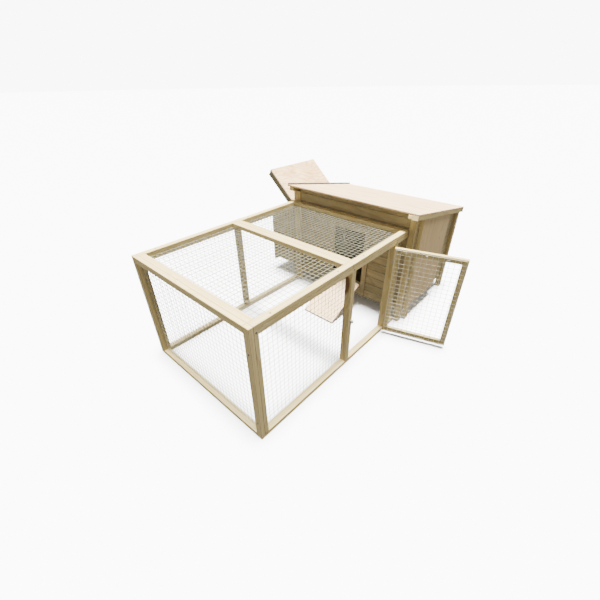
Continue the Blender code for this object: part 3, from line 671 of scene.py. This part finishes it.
class HUTCH_OT_screws(bpy.types.Operator):
    """Drive the screws of the frames, the door, the hinges and the bolt"""
    bl_idname = "hutch.screws"
    bl_label = "Screws"

    def execute(self, context):
        size = context.scene.hutch_sizes.screw_head
        steel = context.scene.hutch_colours.steel
        dull = zinc_plate("zinc_screws", shade(steel, 0.09), 0.20)
        bright = zinc_plate("zinc_small_screws", shade(steel, 0.85))
        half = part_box("right_top_rail")[1].x
        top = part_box("cover_mesh")[1].z + COVER_RAIL_RISE
        frames = [((side * (half - COVER_SCREW_INSET), y, top), (0, 0, 1))
                  for side in (-1, 1) for y in COVER_SCREWS]
        frames += [((side * (half - STILE_SCREW_INSET), FRONT_FACE, z), (0, -1, 0))
                   for side in (-1, 1) for z in STILE_SCREWS]
        frames += [((side * half, y, z), (side, 0, 0)) for side in (-1, 1) for z in SIDE_RAIL_LEVELS
                   for y in SIDE_POST_LINES if side > 0 or y < LEFT_POSTS_END]
        for name, body, (axis, angle), rows, share, is_dull in (
                ("frame_screws", "hutch", ("Z", 0.0), frames, 1.0, True), *HINGE_SCREWS):
            turn = Matrix.Rotation(angle, 3, axis)
            bm = bmesh.new()
            for place, facing in rows:
                add_screw(bm, turn @ Vector(place), turn @ Vector(facing), size * share)
            add_piece(name, bm, dull if is_dull else bright, body)
        # Painted shade: a dark disc under each frame screw's head stands in for the shade in its countersink.
        bm = bmesh.new()
        for place, facing in frames:
            add_nail(bm, Vector(place) - Vector(facing) * 0.0002, facing, size * SINK_SHARE)
        countersink_shade = dark_ribbed("painted_countersink_shade", (0.020, 0.012, 0.006))
        add_piece("frame_screw_sinks", bm, countersink_shade, "hutch")
        return {"FINISHED"}


class HUTCH_OT_nails(bpy.types.Operator):
    """Nail the boards of the walls, the nest box and the roof"""
    bl_idname = "hutch.nails"
    bl_label = "Nails"

    def execute(self, context):
        size, pitch = context.scene.hutch_sizes.nail_head, context.scene.hutch_sizes.board_pitch
        bm = bmesh.new()
        for node, (columns, top) in NAILED.items():
            _, across, inner_side = WALLS[node]
            low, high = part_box(node)
            facing = Vector()
            facing[across] = -inner_side
            for column in columns:
                for course in range(int((top - low.z) / pitch)):
                    place = Vector((column, column, low.z + pitch * (course + 0.5)))
                    place[across] = (low if inner_side > 0 else high)[across]
                    add_nail(bm, place, facing, size)
        fall = Matrix.Rotation(-ROOF_FALL, 3, "X")
        for column in ROOF_NAIL_LINES:
            for number in range(ROOF_NAILS):
                place = fall @ Vector((column, ROOF_NAIL_FIRST + ROOF_NAIL_PITCH * number, ROOF_TOP))
                add_nail(bm, place, fall @ Vector((0, 0, 1)), size)
        zinc = zinc_plate("zinc_nails", context.scene.hutch_colours.steel)
        add_piece("wall_nails", bm, zinc, "hutch")
        return {"FINISHED"}


class HUTCH_OT_trims(bpy.types.Operator):
    """Fit the roof's dark edge strip of painted shadow and its corner pieces, the lid's edge board and the
    side panel's pale edge strip of painted highlight
    """
    bl_idname = "hutch.trims"
    bl_label = "Trims of the roof, lid and side panel"

    def execute(self, context):
        colours = context.scene.hutch_colours
        finishes = {
            # The dark ribbed finish is painted shadow on the roof's left edge.
            "dark_ribbed": dark_ribbed("dark_ribbed_strips", (0.055, 0.045, 0.028)),
            # Painted highlight: timber made 1.35 times paler for the roof's corner block and the side panel's
            # front edge.
            "highlit": ringed_cut("painted_highlight_wood", shade(colours.timber, 1.35)),
            "edging": ringed_cut("lid_edging_wood", shade(colours.siding, 0.60)),
        }
        for name, body, (axis, angle), finish, slot, bars in TRIMS:
            bm = bmesh.new()
            for low, high in bars:
                add_bar(bm, low, high)
            bmesh.ops.rotate(bm, verts=bm.verts, matrix=Matrix.Rotation(angle, 3, axis))
            add_piece(name, bm, finishes[finish], body)
        return {"FINISHED"}


class HUTCH_OT_wire(bpy.types.Operator):
    """Stretch welded wire over the frames, in place of the coarse lattices"""
    bl_idname = "hutch.wire"
    bl_label = "Welded wire"

    def execute(self, context):
        sizes = context.scene.hutch_sizes
        wire = galvanised("galvanised_wire", context.scene.hutch_colours.wire)
        # Painted highlight: the run door's wire gets its own paler colour.
        highlit_door_wire = galvanised("painted_highlight_wire", context.scene.hutch_colours.door_wire)
        zinc = zinc_plate("zinc_staples", context.scene.hutch_colours.steel)
        for node, (name, body, across, turn, wood, top, rows) in MESHES.items():
            low, high = local_box(node, turn)
            high.z = max(high.z, top)
            bm = weave((low, high), across, sizes.mesh_pitch, sizes.wire / 2)
            bmesh.ops.rotate(bm, verts=bm.verts, matrix=Matrix.Rotation(turn, 3, "Z"))
            finish = highlit_door_wire if body == "run_door" else wire
            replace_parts(add_piece(name, bm, finish, body), node)

            bm = bmesh.new()
            level = low[across] if wood > 0 else high[across]
            step = sizes.mesh_pitch * sizes.staple_every
            for run, held, at in rows:
                for number in range(int((high[run] - low[run]) / step)):
                    place = Vector()
                    place[run] = low[run] + step * (number + 0.5) + sizes.wire
                    place[held], place[across] = at, level
                    add_staple(bm, place, run, across, wood)
            bmesh.ops.rotate(bm, verts=bm.verts, matrix=Matrix.Rotation(turn, 3, "Z"))
            add_piece(name + "_staples", bm, zinc, body)
        return {"FINISHED"}


def local_box(node, turn):
    """Corners of a node measured along axes turned about Z."""
    back = Matrix.Rotation(-turn, 3, "Z")
    points = [back @ vert.co for vert in frame["nodes"][node].data.vertices]
    low = Vector([min(point[axis] for point in points) for axis in range(3)])
    return low, Vector([max(point[axis] for point in points) for axis in range(3)])


def weave(corners, across, pitch, radius):
    """Two layers of straight wires that touch where they cross."""
    low, high = corners
    first, second = [axis for axis in range(3) if axis != across]
    bm = bmesh.new()
    for layer, (step, run) in enumerate(((first, second), (second, first))):
        count = round((high[step] - low[step] - 2 * radius) / pitch)
        gap = (high[step] - low[step] - 2 * radius) / count
        for number in range(count + 1):
            start, end = low.copy(), high.copy()
            start[step] = end[step] = low[step] + radius + gap * number
            level = (low[across] + high[across]) / 2 + radius * (0.92 if layer else -0.92)
            start[across] = end[across] = level
            add_rod(bm, start, end, radius, 5)
    return bm


class HUTCH_OT_stage(bpy.types.Operator):
    """Set the pale floor, the soft lights and the camera"""
    bl_idname = "hutch.stage"
    bl_label = "Stage"

    def execute(self, context):
        bm = bmesh.new()
        bmesh.ops.create_grid(bm, x_segments=1, y_segments=1, size=FLOOR_SIZE,
                              matrix=Matrix.Translation((0, 0, -FLOOR_DROP)))
        floor = make_object("floor", bm, chalky("chalky_floor", FLOOR_COLOUR))
        floor.visible_diffuse = floor.visible_glossy = False
        floor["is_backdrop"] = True

        bm = bmesh.new()
        bmesh.ops.create_uvsphere(bm, u_segments=48, v_segments=24, radius=BACKDROP_RADIUS)
        bmesh.ops.reverse_faces(bm, faces=bm.faces)
        backdrop = make_object("backdrop", bm, glowing("white_backdrop", BACKDROP_GLOW))
        backdrop.visible_diffuse = backdrop.visible_glossy = backdrop.visible_shadow = False
        backdrop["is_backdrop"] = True

        world = bpy.data.worlds.new("soft_sky")
        world.use_nodes = True
        sky = world.node_tree.nodes["Background"].inputs
        sky["Color"].default_value = (1.0, 1.0, 1.0, 1.0)
        sky["Strength"].default_value = SKY_STRENGTH
        context.scene.world = world
        sun = bpy.data.lights.new("overhead", "SUN")
        sun.energy = SUN_STRENGTH
        sun.angle = SUN_SPREAD
        lamp = bpy.data.objects.new("overhead", sun)
        lamp.rotation_euler = (-SUN_FROM).to_track_quat("-Z", "Y").to_euler()
        context.scene.collection.objects.link(lamp)

        camera = bpy.data.cameras.new("camera")
        camera.lens = CAMERA_LENS
        camera.sensor_width = CAMERA_SENSOR
        view = bpy.data.objects.new("camera", camera)
        view.location = CAMERA_PLACE
        aim = Euler((math.pi / 2 - CAMERA_DOWN, 0.0, CAMERA_HEADING)).to_matrix()
        view.rotation_euler = (aim @ Matrix.Rotation(CAMERA_ROLL, 3, "Z")).to_euler()
        context.scene.collection.objects.link(view)
        context.scene.camera = view
        return {"FINISHED"}


class HUTCH_PT_sidebar(bpy.types.Panel):
    """Lists the hutch's sizes, colours and pieces"""
    bl_label = "Rabbit hutch"
    bl_idname = "HUTCH_PT_sidebar"
    bl_space_type = "VIEW_3D"
    bl_region_type = "UI"
    bl_category = "Hutch"

    def draw(self, context):
        layout = self.layout
        for group in (context.scene.hutch_sizes, context.scene.hutch_colours):
            for name in group.__annotations__:
                layout.prop(group, name)
        for operator in OPERATORS:
            layout.operator(operator.bl_idname)


OPERATORS = (HUTCH_OT_timber, HUTCH_OT_siding, HUTCH_OT_sheets, HUTCH_OT_steel, HUTCH_OT_wire,
             HUTCH_OT_screws, HUTCH_OT_nails, HUTCH_OT_trims, HUTCH_OT_stage)
CLASSES = (HutchSizes, HutchColours, *OPERATORS, HUTCH_PT_sidebar)


def register():
    for made in CLASSES:
        bpy.utils.register_class(made)
    bpy.types.Scene.hutch_sizes = PointerProperty(type=HutchSizes)
    bpy.types.Scene.hutch_colours = PointerProperty(type=HutchColours)


def unregister():
    del bpy.types.Scene.hutch_colours
    del bpy.types.Scene.hutch_sizes
    for made in reversed(CLASSES):
        bpy.utils.unregister_class(made)


def corners():
    return [[float(part) for part in corner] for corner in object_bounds()]


def main():
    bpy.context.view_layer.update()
    register()
    for operator in OPERATORS:
        family, name = operator.bl_idname.split(".")
        getattr(getattr(bpy.ops, family), name)()


if __name__ == "__main__":
    main()
